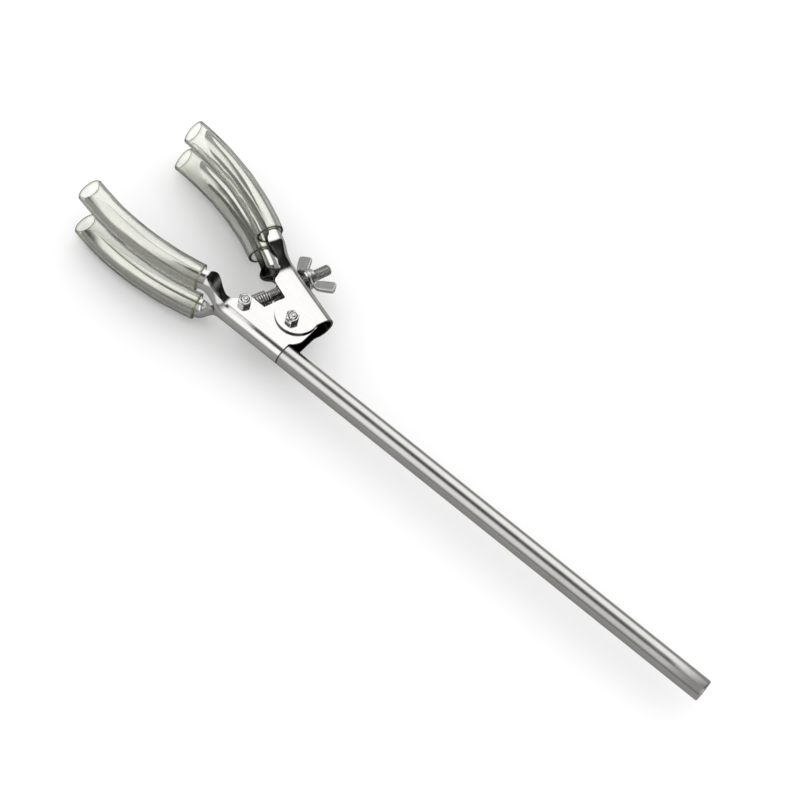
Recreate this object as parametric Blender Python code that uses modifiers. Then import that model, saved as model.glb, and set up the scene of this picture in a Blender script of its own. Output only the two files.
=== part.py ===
# Jaw clamp for laboratory glassware: a steel rod, two stamped steel jaws with two sleeved
# fingers each, and an eye screw with a wing nut that draws the jaws together.
# Frame: the origin is the centre of the rod's free end, +X points out of that end,
# +Y points to the moving jaw and +Z runs along the pivot bolt.
import math

import bmesh
import bpy
from mathutils import Matrix, Vector

mm = 0.001

# Rod
rodRadius = 6.0 * mm
rodShoulder = -270.0 * mm
spigotRadius = 4.5 * mm
spigotEnd = -294.0 * mm
rodChamfer = 0.5 * mm

# Jaw geometry, shared. Both jaws are drawn in a plane (s, h) round the pivot:
# s runs to the finger tips and h runs away from the gripped glass.
pivot = Vector((-278.7, 15.2, 0.0)) * mm
sheet = 1.2 * mm
troughRadius = 5.0 * mm
restTilt = math.radians(17.46)

# Lower jaw, fixed to the rod
lowRadius = 5.4 * mm
lowCentre = 15.2 * mm
lowBack = -8.1 * mm
lowCheekBack = -11.9 * mm
lowLobe = 13.5 * mm
lowShelf = 3.8 * mm

# Upper jaw, turning on the pivot
upRadius = 6.9 * mm
upCentre = 13.3 * mm
upBack = -8.7 * mm
upLobe = 11.4 * mm
upLobeAt = (1.2 * mm, 3.8 * mm)
slotFrom, slotTo, slotWidth = 14.0 * mm, 28.6 * mm, 7.0 * mm

# Sleeves
sleeveOuter = 7.3 * mm
sleeveWall = 1.4 * mm

# Bolts and nuts, M4
boltRadius = 1.97 * mm
boltHole = 2.3 * mm
nutFlats = 6.6 * mm
nutHeight = 2.9 * mm
headHeight = 2.6 * mm

# Adjusting screw, M6, hinged on the link bolt
link = Vector((-303.0, 6.35, 0.0)) * mm
screwRadius = 2.95 * mm
screwLength = 53.0 * mm
eyeRadius = 5.3 * mm
eyeWidth = 4.4 * mm
washerBase = 37.0 * mm
washerRadius = 6.2 * mm
washerThick = 1.2 * mm
nutBase = 38.5 * mm
hubTop = 43.2 * mm
threadHole = 3.25 * mm
wingThick = 2.4 * mm
wingTurn = math.radians(74.0)
springWire = 0.45 * mm
springTurns = 6

for old in list(bpy.data.objects):
    bpy.data.objects.remove(old, do_unlink=True)

main = bpy.data.collections.new("finger_clamp")
helpers = bpy.data.collections.new("cutters")
bpy.context.scene.collection.children.link(main)
bpy.context.scene.collection.children.link(helpers)


def material(name, colour, metallic, roughness, alpha=1.0):
    """One Principled material of its own for each surface."""
    made = bpy.data.materials.new(name)
    made.use_nodes = True
    shader = made.node_tree.nodes["Principled BSDF"]
    shader.inputs["Base Color"].default_value = (*colour, 1.0)
    shader.inputs["Metallic"].default_value = metallic
    shader.inputs["Roughness"].default_value = roughness
    shader.inputs["Alpha"].default_value = alpha
    return made


jawSteel = material("polished_steel", (0.66, 0.65, 0.63), 1.0, 0.16)
rodSteel = material("drawn_steel", (0.60, 0.59, 0.57), 1.0, 0.28)
boltSteel = material("bolt_steel", (0.70, 0.70, 0.69), 1.0, 0.22)
springSteel = material("spring_steel", (0.74, 0.74, 0.72), 1.0, 0.20)
castSteel = material("wing_nut_steel", (0.62, 0.62, 0.61), 1.0, 0.34)
clearVinyl = material("clear_vinyl", (0.62, 0.65, 0.60), 0.0, 0.25, 0.55)


def place(name, mesh, look, at=Vector((0, 0, 0)), turn=None):
    """Puts a finished mesh in the object's collection, with its origin at the joint."""
    made = bpy.data.objects.new(name, mesh)
    made.data.materials.append(look)
    made.matrix_world = Matrix.Translation(at) @ (turn.to_4x4() if turn else Matrix())
    main.objects.link(made)
    return made


def meshOf(name, points, faces):
    mesh = bpy.data.meshes.new(name)
    mesh.from_pydata([tuple(p) for p in points], [], faces)
    work = bmesh.new()
    work.from_mesh(mesh)
    bmesh.ops.recalc_face_normals(work, faces=work.faces)
    work.to_mesh(mesh)
    work.free()
    return mesh


def cutter(name, mesh, matrix=None):
    made = bpy.data.objects.new(name, mesh)
    made.matrix_world = matrix or Matrix()
    made.hide_render = True
    made.display_type = "WIRE"
    helpers.objects.link(made)
    return made


def cut(target, tool, operation="DIFFERENCE"):
    step = target.modifiers.new(tool.name, "BOOLEAN")
    step.operation = operation
    step.solver = "EXACT"
    step.object = tool


def prism(name, outline, low, high, matrix=None):
    """A straight prism over a flat outline, from low to high along Z."""
    work = bmesh.new()
    base = [work.verts.new((x, y, low)) for x, y in outline]
    top = [work.verts.new((x, y, high)) for x, y in outline]
    work.faces.new(base[::-1])
    work.faces.new(top)
    for i in range(len(outline)):
        j = (i + 1) % len(outline)
        work.faces.new((base[i], base[j], top[j], top[i]))
    bmesh.ops.recalc_face_normals(work, faces=work.faces)
    mesh = bpy.data.meshes.new(name)
    work.to_mesh(mesh)
    work.free()
    return cutter(name, mesh, matrix) if matrix is not None else mesh


def barrel(name, radius, low, high, matrix, steps=24):
    ring = [
        (radius * math.cos(2 * math.pi * i / steps), radius * math.sin(2 * math.pi * i / steps))
        for i in range(steps)
    ]
    return prism(name, ring, low, high, matrix)


def turned(name, profile, steps, look, at, turn=None):
    """A body of revolution: the profile (radius, height) runs down the outer side."""
    mesh = bpy.data.meshes.new(name)
    points = [(r, 0.0, z) for r, z in profile]
    closed = profile[0][0] > 0.0 or profile[-1][0] > 0.0
    edges = [(i, i + 1) for i in range(len(points) - 1)]
    if closed:
        edges.append((len(points) - 1, 0))
    mesh.from_pydata(points, edges, [])
    made = place(name, mesh, look, at, turn)
    spin = made.modifiers.new("turn", "SCREW")
    spin.steps = steps
    spin.render_steps = steps
    spin.use_merge_vertices = True
    spin.merge_threshold = 0.00001
    spin.use_normal_calculate = False
    return made


def smooth(value):
    value = min(max(value, 0.0), 1.0)
    return value * value * (3 - 2 * value)


def along(value, table):
    """Straight-line reading of a short table of (position, value) pairs."""
    if value <= table[0][0]:
        return table[0][1]
    for (a, va), (b, vb) in zip(table, table[1:]):
        if value <= b:
            return va + (vb - va) * (value - a) / (b - a)
    return table[-1][1]


class Jaw:
    """The path and cross section of one stamped jaw, in its own (s, h) plane."""

    def __init__(self, spec):
        self.spec = spec
        self.path = []
        s, h, step = spec["start"], spec["centre"], 0.25 * mm
        q = spec["start"]
        while q <= spec["sleeve"][1] + 2 * mm:
            tilt = math.radians(along(q / mm, spec["tilt"]))
            self.path.append((q, s, h, tilt))
            s += step * math.cos(tilt)
            h += step * math.sin(tilt)
            q += step

    def at(self, q):
        index = (q - self.spec["start"]) / (0.25 * mm)
        low = min(max(int(index), 0), len(self.path) - 2)
        part = index - low
        a, b = self.path[low], self.path[low + 1]
        return [a[i] + (b[i] - a[i]) * part for i in (1, 2, 3)]

    def opening(self, q):
        """How far the sheet has opened from channel (0) to finger (1), slowly at first."""
        begin, root = self.spec["flare"]
        return smooth((q - begin) / (root - begin)) ** 2.4

    def finger(self, q):
        """Sideways position of a finger's centre line."""
        root, tip = self.spec["flare"][1], self.spec["sleeve"][1]
        out = self.opening(q)
        near, far = self.spec["apart"]
        return out * (near + (far - near) * max(q - root, 0) / (tip - root))

    def section(self, q, count, rims):
        """Half of the cross section as (z, outward) pairs, from the middle to the outer rim."""
        spec = self.spec
        wide = self.opening(q)
        end = spec["tip"] - q
        spread = math.radians(along(q / mm, spec["spread"]))
        if end < spec["spoon"]:
            round_off = max(1 - (1 - end / spec["spoon"]) ** 2, 0.0) ** 0.5
            spread *= 0.10 + 0.90 * round_off
        wall = min(math.pi / 2, spread * 0.86)
        arc = count - 2
        found = []
        for i in range(count - 1):
            turnBy = math.pi / 2 * i / arc
            bend = -spread + (spread + wall) * i / arc
            channel = (spec["radius"] * math.sin(turnBy), spec["radius"] * math.cos(turnBy))
            trough = (troughRadius * math.sin(bend), troughRadius * math.cos(bend))
            z = channel[0] + (trough[0] - channel[0]) * wide + self.finger(q)
            found.append((z, channel[1] + (trough[1] - channel[1]) * wide))
        inside = smooth((q - spec["sleeve"][0] + 5.5 * mm) / (4.5 * mm))
        rim = (found[-1][0], along(q / mm, rims) * mm)
        tuck = (self.finger(q) + troughRadius * math.sin(spread), troughRadius * math.cos(spread))
        found.append(tuple(a + (b - a) * inside for a, b in zip(rim, tuck)))
        return found

    def point(self, q, z, out):
        s, h, tilt = self.at(q)
        return s - out * math.sin(tilt), h + out * math.cos(tilt), z


def placed(jaw, point):
    """From (s, h, z) round the pivot to world directions round the pivot."""
    s, h, z = point
    x, y = jaw.spec["axes"]
    return Vector((s * x[0] + h * y[0], s * x[1] + h * y[1], z))


def stamped(name, jaw, stations, count, rims, look):
    """The jaw's sheet as one grid that parts at the crotch, thickened to the plate's gauge."""
    points, faces, rows = [], [], []
    for q in stations:
        half = jaw.section(q, count, rims)
        split = q > jaw.spec["crotch"]
        if not split:
            half[0] = (0.0, half[0][1])
        right = []
        for z, out in half:
            right.append(len(points))
            points.append(placed(jaw, jaw.point(q, z, out)))
        left = []
        for i, (z, out) in enumerate(half):
            if i == 0 and not split:
                left.append(right[0])
                continue
            left.append(len(points))
            points.append(placed(jaw, jaw.point(q, -z, out)))
        rows.append((right, left))
    for (rightA, leftA), (rightB, leftB) in zip(rows, rows[1:]):
        for i in range(count - 1):
            faces.append((rightA[i], rightA[i + 1], rightB[i + 1], rightB[i]))
            faces.append((leftA[i], leftB[i], leftB[i + 1], leftA[i + 1]))
    made = place(name, meshOf(name, points, faces), look, pivot)
    gauge = made.modifiers.new("gauge", "SOLIDIFY")
    gauge.thickness = sheet
    gauge.offset = 0.0
    gauge.use_even_offset = True
    return made


def trimmed(target, jaw, name, outline, z=22.0 * mm):
    """Cuts the cheeks to their side outline, given in (s, h)."""
    flat = [placed(jaw, (s, h, 0.0)) for s, h in outline]
    mesh = prism(name, [(p.x, p.y) for p in flat], -z, z)
    cut(target, cutter(name, mesh, Matrix.Translation(pivot)))


def arcPoints(centre, radius, fromDeg, toDeg, count):
    return [
        (
            centre[0] + radius * math.cos(math.radians(fromDeg + (toDeg - fromDeg) * i / count)),
            centre[1] + radius * math.sin(math.radians(fromDeg + (toDeg - fromDeg) * i / count)),
        )
        for i in range(count + 1)
    ]


def spaced(low, high, count):
    return [low + (high - low) * i / count for i in range(count + 1)]


lowAxes = ((-1.0, 0.0), (0.0, -1.0))
upAxes = (
    (-math.cos(restTilt), math.sin(restTilt)),
    (math.sin(restTilt), math.cos(restTilt)),
)

lowSpec = {
    "axes": lowAxes,
    "start": -14.0 * mm,
    "centre": lowCentre,
    "radius": lowRadius,
    "tilt": [(34, 0), (44.5, 16.5), (47.5, 15.7), (123, -13)],
    "flare": (25.0 * mm, 45.0 * mm),
    "crotch": 34.0 * mm,
    "apart": (13.2 * mm, 15.4 * mm),
    "sleeve": (46.6 * mm, 123.0 * mm),
    "tip": 119.5 * mm,
    "spoon": 13.0 * mm,
    "spread": [(46, 112), (60, 108), (84, 94), (120, 84)],
}
upSpec = {
    "axes": upAxes,
    "start": -12.0 * mm,
    "centre": upCentre,
    "radius": upRadius,
    "tilt": [(32, 0), (43, 12.6), (47.5, 11.9), (122, -17)],
    "flare": (20.0 * mm, 41.0 * mm),
    "crotch": 31.0 * mm,
    "apart": (12.0 * mm, 13.8 * mm),
    "sleeve": (47.2 * mm, 121.0 * mm),
    "tip": 116.0 * mm,
    "spoon": 13.0 * mm,
    "spread": [(41, 112), (56, 108), (80, 94), (116, 84)],
}
lowJaw, upJaw = Jaw(lowSpec), Jaw(upSpec)

# Where the outer rim lies from the section's centre; above the neck the outline trims it
lowRim = [(26, -31), (29, -8), (31, -3.4), (34, -2.4), (37, -3.2), (40, -5.0)]
lowRim += [(43.5, -5.2), (46, -4.4), (49, -2.4)]
upRim = [(23, -22.5), (26, -8), (28, -3.2), (31, -2.1), (34, -1.6), (37, -3.2)]
upRim += [(40, -4.2), (43, -3.8), (47, -2.2)]


def jawStations(spec, channel, neck, finger):
    first = spaced(spec["start"], spec["flare"][0], channel)[:-1]
    middle = spaced(spec["flare"][0], spec["crotch"], neck)[:-1]
    flare = spaced(spec["crotch"], spec["flare"][1] + 2 * mm, 11)[:-1]
    shaft = spaced(spec["flare"][1] + 2 * mm, spec["tip"] - spec["spoon"], finger)[:-1]
    spoon = [spec["tip"] - spec["spoon"] * (1 - i / 8) ** 1.6 for i in range(9)]
    return first + middle + flare + shaft + spoon


# Lower jaw
lowOutline = (
    [(36.0 * mm, -40 * mm), (36.0 * mm, 10.6 * mm), (33.0 * mm, 12.4 * mm)]
    + [(31.0 * mm, 11.9 * mm), (28.6 * mm, 9.6 * mm), (26.9 * mm, 6.2 * mm), (25.6 * mm, 4.5 * mm)]
    + [(23.9 * mm, lowShelf), (15.2 * mm, lowShelf)]
    + arcPoints((0, 0), lowLobe, -10, -151.8, 14)
    + [(lowCheekBack, 5.4 * mm), (-11.4 * mm, 7.3 * mm), (-9.9 * mm, 10.0 * mm)]
    + [(-8.7 * mm, 11.2 * mm), (lowBack, 11.9 * mm), (lowBack, 30 * mm)]
    + [(-40 * mm, 30 * mm), (-40 * mm, -40 * mm)]
)
lower = stamped("lower_jaw", lowJaw, jawStations(lowSpec, 3, 5, 11), 11, lowRim, jawSteel)
trimmed(lower, lowJaw, "lower_outline", lowOutline)
cut(lower, barrel("lower_pivot_hole", boltHole, -20 * mm, 20 * mm, Matrix.Translation(pivot)))
cut(lower, barrel("lower_link_hole", boltHole, -20 * mm, 20 * mm, Matrix.Translation(link)))

# Upper jaw
upOutline = (
    [(30.5 * mm, -30 * mm), (30.5 * mm, 11.6 * mm), (28.0 * mm, 10.2 * mm)]
    + [(26.2 * mm, 8.0 * mm), (25.3 * mm, 6.2 * mm), (24.6 * mm, 5.2 * mm), (22.9 * mm, 4.4 * mm)]
    + [(13.0 * mm, 3.9 * mm)]
    + arcPoints(upLobeAt, upLobe, -2, -209.3, 22)
    + [(upBack, 30 * mm), (-30 * mm, 30 * mm), (-30 * mm, -30 * mm)]
)
upper = stamped("upper_jaw", upJaw, jawStations(upSpec, 3, 5, 11), 11, upRim, jawSteel)
trimmed(upper, upJaw, "upper_outline", upOutline)
cut(upper, barrel("upper_pivot_hole", boltHole, -20 * mm, 20 * mm, Matrix.Translation(pivot)))

half = slotWidth / 2
slotOutline = [(slotTo - half + half * math.sin(a), half * math.cos(a)) for a in spaced(0, math.pi, 8)]
slotOutline += [
    (slotFrom + half - half * math.sin(a), -half * math.cos(a)) for a in spaced(0, math.pi, 8)
]
sAxis = Vector((*upAxes[0], 0.0))
hAxis = Vector((*upAxes[1], 0.0))
zAxis = hAxis.cross(sAxis)
slotTurn = Matrix((sAxis, hAxis.cross(sAxis), hAxis)).transposed()
slotFrame = Matrix.Translation(pivot) @ slotTurn.to_4x4()
cut(upper, prism("screw_slot", slotOutline, 14 * mm, 26 * mm, slotFrame))


def sleeve(name, jaw, side, begin, end):
    """A clear tube over one finger, swept along the finger's own path."""
    line = bpy.data.curves.new(name + "_path", "CURVE")
    line.dimensions = "3D"
    line.bevel_depth = sleeveOuter - sleeveWall / 2
    line.bevel_resolution = 8
    line.use_fill_caps = False
    run = line.splines.new("POLY")
    stations = spaced(begin, end, 13)
    run.points.add(len(stations) - 1)
    for node, q in zip(run.points, stations):
        node.co = (*placed(jaw, jaw.point(q, side * jaw.finger(q), 0.0)), 1.0)
    path = cutter(name + "_path", line)
    mesh = bpy.data.meshes.new_from_object(path.evaluated_get(bpy.context.evaluated_depsgraph_get()))
    bpy.data.objects.remove(path, do_unlink=True)
    work = bmesh.new()
    work.from_mesh(mesh)
    bmesh.ops.recalc_face_normals(work, faces=work.faces)
    work.to_mesh(mesh)
    work.free()
    mesh.materials.clear()
    made = place(name, mesh, clearVinyl, pivot)
    wall = made.modifiers.new("wall", "SOLIDIFY")
    wall.thickness = sleeveWall
    wall.offset = 0.0
    wall.use_even_offset = True
    return made


sleeve("sleeve_lower_near", lowJaw, 1, 47.6 * mm, 123.2 * mm)
sleeve("sleeve_lower_far", lowJaw, -1, 46.6 * mm, 123.4 * mm)
sleeve("sleeve_upper_near", upJaw, 1, 47.2 * mm, 120.6 * mm)
sleeve("sleeve_upper_far", upJaw, -1, 51.0 * mm, 124.0 * mm)

# Rod with the turned-down end that sits in the lower jaw's round back
rodTurn = Matrix.Rotation(math.radians(90), 3, "Y")
turned(
    "rod",
    [
        (0.0, 0.0),
        (rodRadius - rodChamfer, 0.0),
        (rodRadius, -rodChamfer),
        (rodRadius, rodShoulder),
        (spigotRadius, rodShoulder),
        (spigotRadius, spigotEnd + 0.5 * mm),
        (spigotRadius - 0.5 * mm, spigotEnd),
        (0.0, spigotEnd),
    ],
    48,
    rodSteel,
    Vector((0, 0, 0)),
    rodTurn,
)


def hexOutline(flats):
    reach = flats / math.sqrt(3)
    return [(reach * math.cos(a), reach * math.sin(a)) for a in spaced(0, 2 * math.pi, 6)[:-1]]


def bolt(name, at, cheek, end):
    """Hexagon bolt through both cheeks, its head on the far side and a domed end."""
    head = -(cheek + 0.3 * mm)
    made = turned(
        name,
        [
            (0.0, end),
            (0.9 * mm, end - 0.12 * mm),
            (boltRadius - 0.3 * mm, end - 0.4 * mm),
            (boltRadius, end - 0.8 * mm),
            (boltRadius, head - 0.4 * mm),
            (0.0, head - 0.4 * mm),
        ],
        24,
        boltSteel,
        at,
    )
    shape = prism(name + "_head", hexOutline(nutFlats), head - headHeight, head, Matrix.Translation(at))
    cut(made, shape, "UNION")
    return made


def hexNut(name, at, low):
    """Plain hexagon nut with its corners turned off at the outer face."""
    shape = prism(name, hexOutline(nutFlats), low, low + nutHeight)
    made = place(name, shape, boltSteel, at)
    top = low + nutHeight
    cone = turned(
        name + "_cone",
        [
            (0.0, top + 0.01 * mm),
            (nutFlats / 2 - 0.15 * mm, top + 0.01 * mm),
            (nutFlats / 2 + 1.2 * mm, top - 0.75 * mm),
            (nutFlats / 2 + 1.2 * mm, low - 1 * mm),
            (0.0, low - 1 * mm),
        ],
        24,
        boltSteel,
        at,
    )
    asTool(cone)
    cut(made, cone, "INTERSECT")
    frame = Matrix.Translation(at)
    bore = barrel(name + "_bore", boltHole - 0.03 * mm, low - 2 * mm, top + 2 * mm, frame)
    cut(made, bore)
    return made


def asTool(made):
    """Moves a turned body to the cutters."""
    main.objects.unlink(made)
    helpers.objects.link(made)
    made.hide_render = True
    made.display_type = "WIRE"


lowFace, upFace = lowRadius + sheet / 2, upRadius + sheet / 2
for name, at, face in (("pivot", pivot, upFace), ("link", link, lowFace)):
    top = face + 0.3 * mm + nutHeight
    bolt(name + "_bolt", at, face, top + 0.8 * mm)
    hexNut(name + "_nut", at, face + 0.3 * mm)

# Adjusting screw: an eye on the link bolt and a threaded shank square to the moving jaw's back
shankTurn = Matrix((zAxis, hAxis.cross(zAxis), hAxis)).transposed()
shankFrame = Matrix.Translation(link) @ shankTurn.to_4x4()
screw = turned(
    "eye_screw",
    [
        (0.0, screwLength),
        (screwRadius - 0.6 * mm, screwLength),
        (screwRadius, screwLength - 0.6 * mm),
        (screwRadius, 2.6 * mm),
        (0.0, 2.6 * mm),
    ],
    28,
    boltSteel,
    link,
    shankTurn,
)
eye = barrel("eye_ring", eyeRadius, -eyeWidth / 2, eyeWidth / 2, Matrix.Translation(link), 32)
cut(screw, eye, "UNION")
cut(screw, barrel("eye_bore", boltHole, -5 * mm, 5 * mm, Matrix.Translation(link)))

# Compression spring, slightly conical, wound from the eye up
coil = bpy.data.curves.new("spring_path", "CURVE")
coil.dimensions = "3D"
coil.bevel_depth = springWire
coil.bevel_resolution = 1
coil.use_fill_caps = True
wire = coil.splines.new("POLY")
coilSteps = springTurns * 16
wire.points.add(coilSteps)
for i, node in enumerate(wire.points):
    part = i / coilSteps
    radius = (4.05 - 0.3 * part) * mm
    node.co = (
        radius * math.cos(2 * math.pi * springTurns * part),
        radius * math.sin(2 * math.pi * springTurns * part),
        (6.4 + 8.6 * part) * mm,
        1.0,
    )
coilPath = cutter("spring_path", coil)
coilMesh = bpy.data.meshes.new_from_object(
    coilPath.evaluated_get(bpy.context.evaluated_depsgraph_get())
)
bpy.data.objects.remove(coilPath, do_unlink=True)
work = bmesh.new()
work.from_mesh(coilMesh)
bmesh.ops.remove_doubles(work, verts=work.verts, dist=0.00001)
bmesh.ops.recalc_face_normals(work, faces=work.faces)
work.to_mesh(coilMesh)
work.free()
coilMesh.materials.clear()
place("spring", coilMesh, springSteel, link, shankTurn)

# Washer and wing nut on the screw, their origins on the screw's axis
turned(
    "thrust_washer",
    [
        (threadHole, washerThick),
        (washerRadius - 0.2 * mm, washerThick),
        (washerRadius, washerThick - 0.2 * mm),
        (washerRadius, 0.2 * mm),
        (washerRadius - 0.2 * mm, 0.0),
        (threadHole, 0.0),
    ],
    32,
    boltSteel,
    link + hAxis * washerBase,
    shankTurn,
)
hub = hubTop - nutBase
nutTurn = shankTurn @ Matrix.Rotation(wingTurn, 3, "Z")
wingNut = turned(
    "wing_nut",
    [
        (threadHole, hub),
        (4.3 * mm, hub),
        (4.8 * mm, hub - 0.5 * mm),
        (5.6 * mm, 1.6 * mm),
        (5.8 * mm, 0.3 * mm),
        (5.5 * mm, 0.0),
        (threadHole, 0.0),
    ],
    32,
    castSteel,
    link + hAxis * nutBase,
    nutTurn,
)
paddle = [(4.2, 0.4), (8.9, 0.4), (10.2, 1.0), (15.2, 5.7), (15.6, 6.7), (15.2, 7.7), (12.4, 10.6)]
paddle += [(11.4, 11.0), (10.4, 10.6), (6.6, 6.6), (5.6, 5.2), (4.7, 3.6), (4.2, 3.0)]
nutFrame = Matrix.Translation(link + hAxis * nutBase) @ nutTurn.to_4x4()
for side in (1, -1):
    flat = [(side * x * mm, z * mm) for x, z in paddle]
    upright = Matrix.Rotation(math.radians(90), 4, "X")
    wing = prism(f"wing_{side + 1}", flat, -wingThick / 2, wingThick / 2, nutFrame @ upright)
    edge = wing.modifiers.new("round", "BEVEL")
    edge.width = 0.5 * mm
    edge.segments = 2
    edge.limit_method = "ANGLE"
    edge.angle_limit = math.radians(60)
    cut(wingNut, wing, "UNION")
cut(wingNut, barrel("wing_nut_bore", threadHole, -3 * mm, 20 * mm, nutFrame, 32))
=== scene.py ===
import math

import bmesh
import bpy
from mathutils.kdtree import KDTree
from mathutils import Matrix, Vector

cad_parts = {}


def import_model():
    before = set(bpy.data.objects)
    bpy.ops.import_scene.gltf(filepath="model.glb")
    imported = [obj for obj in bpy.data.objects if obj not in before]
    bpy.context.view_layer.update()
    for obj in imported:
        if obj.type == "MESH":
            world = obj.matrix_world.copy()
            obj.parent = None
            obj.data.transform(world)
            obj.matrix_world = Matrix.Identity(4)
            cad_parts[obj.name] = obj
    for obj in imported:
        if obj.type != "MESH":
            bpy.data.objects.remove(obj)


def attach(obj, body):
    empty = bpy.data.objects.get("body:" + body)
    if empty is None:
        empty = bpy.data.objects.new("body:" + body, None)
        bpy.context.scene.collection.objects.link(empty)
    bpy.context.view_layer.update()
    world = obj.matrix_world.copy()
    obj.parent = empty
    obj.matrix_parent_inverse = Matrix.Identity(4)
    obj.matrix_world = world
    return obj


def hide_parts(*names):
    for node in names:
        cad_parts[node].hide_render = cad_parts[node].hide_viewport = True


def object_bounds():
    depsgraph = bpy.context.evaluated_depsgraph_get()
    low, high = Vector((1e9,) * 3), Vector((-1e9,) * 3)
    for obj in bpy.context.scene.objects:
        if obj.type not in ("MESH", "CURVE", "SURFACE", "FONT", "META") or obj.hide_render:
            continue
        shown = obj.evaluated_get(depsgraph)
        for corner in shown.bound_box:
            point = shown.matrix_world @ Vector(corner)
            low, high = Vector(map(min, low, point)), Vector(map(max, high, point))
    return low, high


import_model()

cadBox = [[round(v, 6) for v in corner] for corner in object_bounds()]
mm = 0.001
scene = bpy.context.scene
print("frame loaded", cadBox)


class Value:  # a socket that can be written in sums
    def __init__(self, graph, socket):
        self.graph, self.socket = graph, socket

    def sum(self, kind, *others):
        inputs = dict(enumerate((self, *others)))
        return self.graph.add("ShaderNodeMath", {"operation": kind}, inputs)[0]

    def __add__(self, other):
        return self.sum("ADD", other)

    def __mul__(self, other):
        return self.sum("MULTIPLY", other)

    def __sub__(self, other):
        return self.sum("SUBTRACT", other)

    def __rsub__(self, other):
        return self * -1 + other

    def __truediv__(self, other):
        return self.sum("DIVIDE", other)

    def clamped(self):
        return self.sum("MAXIMUM", 0.0).sum("MINIMUM", 1.0)

    __radd__ = __add__
    __rmul__ = __mul__


class Made:  # a node, read by the name or number of an output
    def __init__(self, graph, node):
        self.graph, self.node = graph, node

    def __getitem__(self, name):
        return Value(self.graph, self.node.outputs[name])


class Graph:
    def __init__(self, tree):
        self.tree = tree

    def add(self, kind, settings=None, inputs=None):
        node = self.tree.nodes.new(kind)
        for name, value in (settings or {}).items():
            if name == "stops":
                self.ramp(node.color_ramp, value)
            else:
                setattr(node, name, value)
        for name, value in (inputs or {}).items():
            if isinstance(value, Value):
                self.tree.links.new(value.socket, node.inputs[name])
            else:
                node.inputs[name].default_value = value
        return Made(self, node)

    def ramp(self, ramp, stops):
        ramp.elements[0].position = stops[0][0]
        ramp.elements[-1].position = stops[-1][0]
        for at, tone in stops[1:-1]:
            ramp.elements.new(at)
        for stop, (at, tone) in zip(ramp.elements, stops):
            stop.color = (tone, tone, tone, 1.0)

    def noise(self, vector, scale, detail=3.0, rough=0.5):
        inputs = {"Vector": vector, "Scale": scale, "Detail": detail, "Roughness": rough}
        return self.add("ShaderNodeTexNoise", {}, inputs)["Fac"]

    def blend(self, part, low, high):
        inputs = {0: part, 6: (*low, 1.0) if isinstance(low, tuple) else low, 7: (*high, 1.0)}
        return self.add("ShaderNodeMix", {"data_type": "RGBA"}, inputs)[2]

    def stretched(self, vector, scale):
        return self.add("ShaderNodeMapping", {}, {"Vector": vector, "Scale": scale})["Vector"]

    def bump(self, height, distance, normal=None):
        inputs = {"Height": height, "Distance": distance, "Strength": 1.0}
        if normal:
            inputs["Normal"] = normal
        return self.add("ShaderNodeBump", {}, inputs)["Normal"]

    def mirrored(self):  # 1 where a surface is seen as a reflection, also through the clear tube
        path = self.add("ShaderNodeLightPath")
        through = path["Is Transmission Ray"]
        return path["Is Glossy Ray"] * (1 - through) + through * path["Glossy Depth"].sum("MINIMUM", 1.0)


def surface(name):
    made = bpy.data.materials.new(name)
    made.use_nodes = True
    shader = made.node_tree.nodes["Principled BSDF"]
    return made, Graph(made.node_tree), shader


def feed(graph, shader, name, value):
    if isinstance(value, Value):
        graph.tree.links.new(value.socket, shader.inputs[name])
    else:
        shader.inputs[name].default_value = value


def steel(name, look):  # worked metal: cloudy polish, fine grain one way, a slow ripple in the sheet
    made, graph, shader = surface(name)
    spot = graph.add("ShaderNodeTexCoord")["Object"]
    grain = graph.noise(graph.stretched(spot, look["grain"]), 1.0, 4.0, 0.6)
    cloud = graph.noise(spot, look["cloud"], 3.0)
    speck = graph.noise(spot, look["speck"], 2.0, 0.7)
    ripple = graph.noise(spot, look["ripple"], 1.0)
    tone = graph.blend(cloud * 0.5 + grain * 0.5, look["dark"], look["light"])
    if "dull" in look:  # painted shade: a dark tone blended into thread roots and the inside of the sheet, as marked on the mesh
        depth = graph.add("ShaderNodeAttribute", {"attribute_name": "dull"})["Fac"]
        tone = graph.blend(depth, tone, look["dull"])
    feed(graph, shader, "Base Color", tone)
    feed(graph, shader, "Metallic", 1.0)
    rough = (cloud - 0.5) * look["cloudRough"] + (grain - 0.5) * look["grainRough"] + look["rough"]
    feed(graph, shader, "Roughness", rough.sum("MAXIMUM", 0.04))
    slow = graph.bump(ripple, look["rippleDepth"])
    pits = graph.bump(speck, look["speckDepth"], slow)
    feed(graph, shader, "Normal", graph.bump(grain, look["grainDepth"], pits))
    return made


polishedSteel = steel("polishedSteel", {
    # the third colour on the next line is painted shade, for the inside of the channel
    "dark": (0.70, 0.69, 0.67), "light": (0.86, 0.855, 0.84), "dull": (0.15, 0.148, 0.14),
    "rough": 0.13, "cloudRough": 0.10, "grainRough": 0.05,
    "grain": (90.0, 1400.0, 1400.0), "grainDepth": 0.000004,
    "cloud": 160.0, "speck": 3500.0, "speckDepth": 0.0000015,
    "ripple": 70.0, "rippleDepth": 0.00022,
})
drawnSteel = steel("drawnSteel", {
    "dark": (0.56, 0.55, 0.53), "light": (0.80, 0.79, 0.77),
    "rough": 0.20, "cloudRough": 0.06, "grainRough": 0.10,
    "grain": (7000.0, 160.0, 160.0), "grainDepth": 0.000004,
    "cloud": 90.0, "speck": 2600.0, "speckDepth": 0.000003,
    "ripple": 25.0, "rippleDepth": 0.00006,
})
boltSteel = steel("boltSteel", {
    "dark": (0.66, 0.66, 0.65), "light": (0.88, 0.88, 0.87),
    "rough": 0.15, "cloudRough": 0.10, "grainRough": 0.08,
    "grain": (1500.0, 1500.0, 4000.0), "grainDepth": 0.000003,
    "cloud": 500.0, "speck": 5000.0, "speckDepth": 0.000002,
    "ripple": 300.0, "rippleDepth": 0.00001,
})
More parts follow.
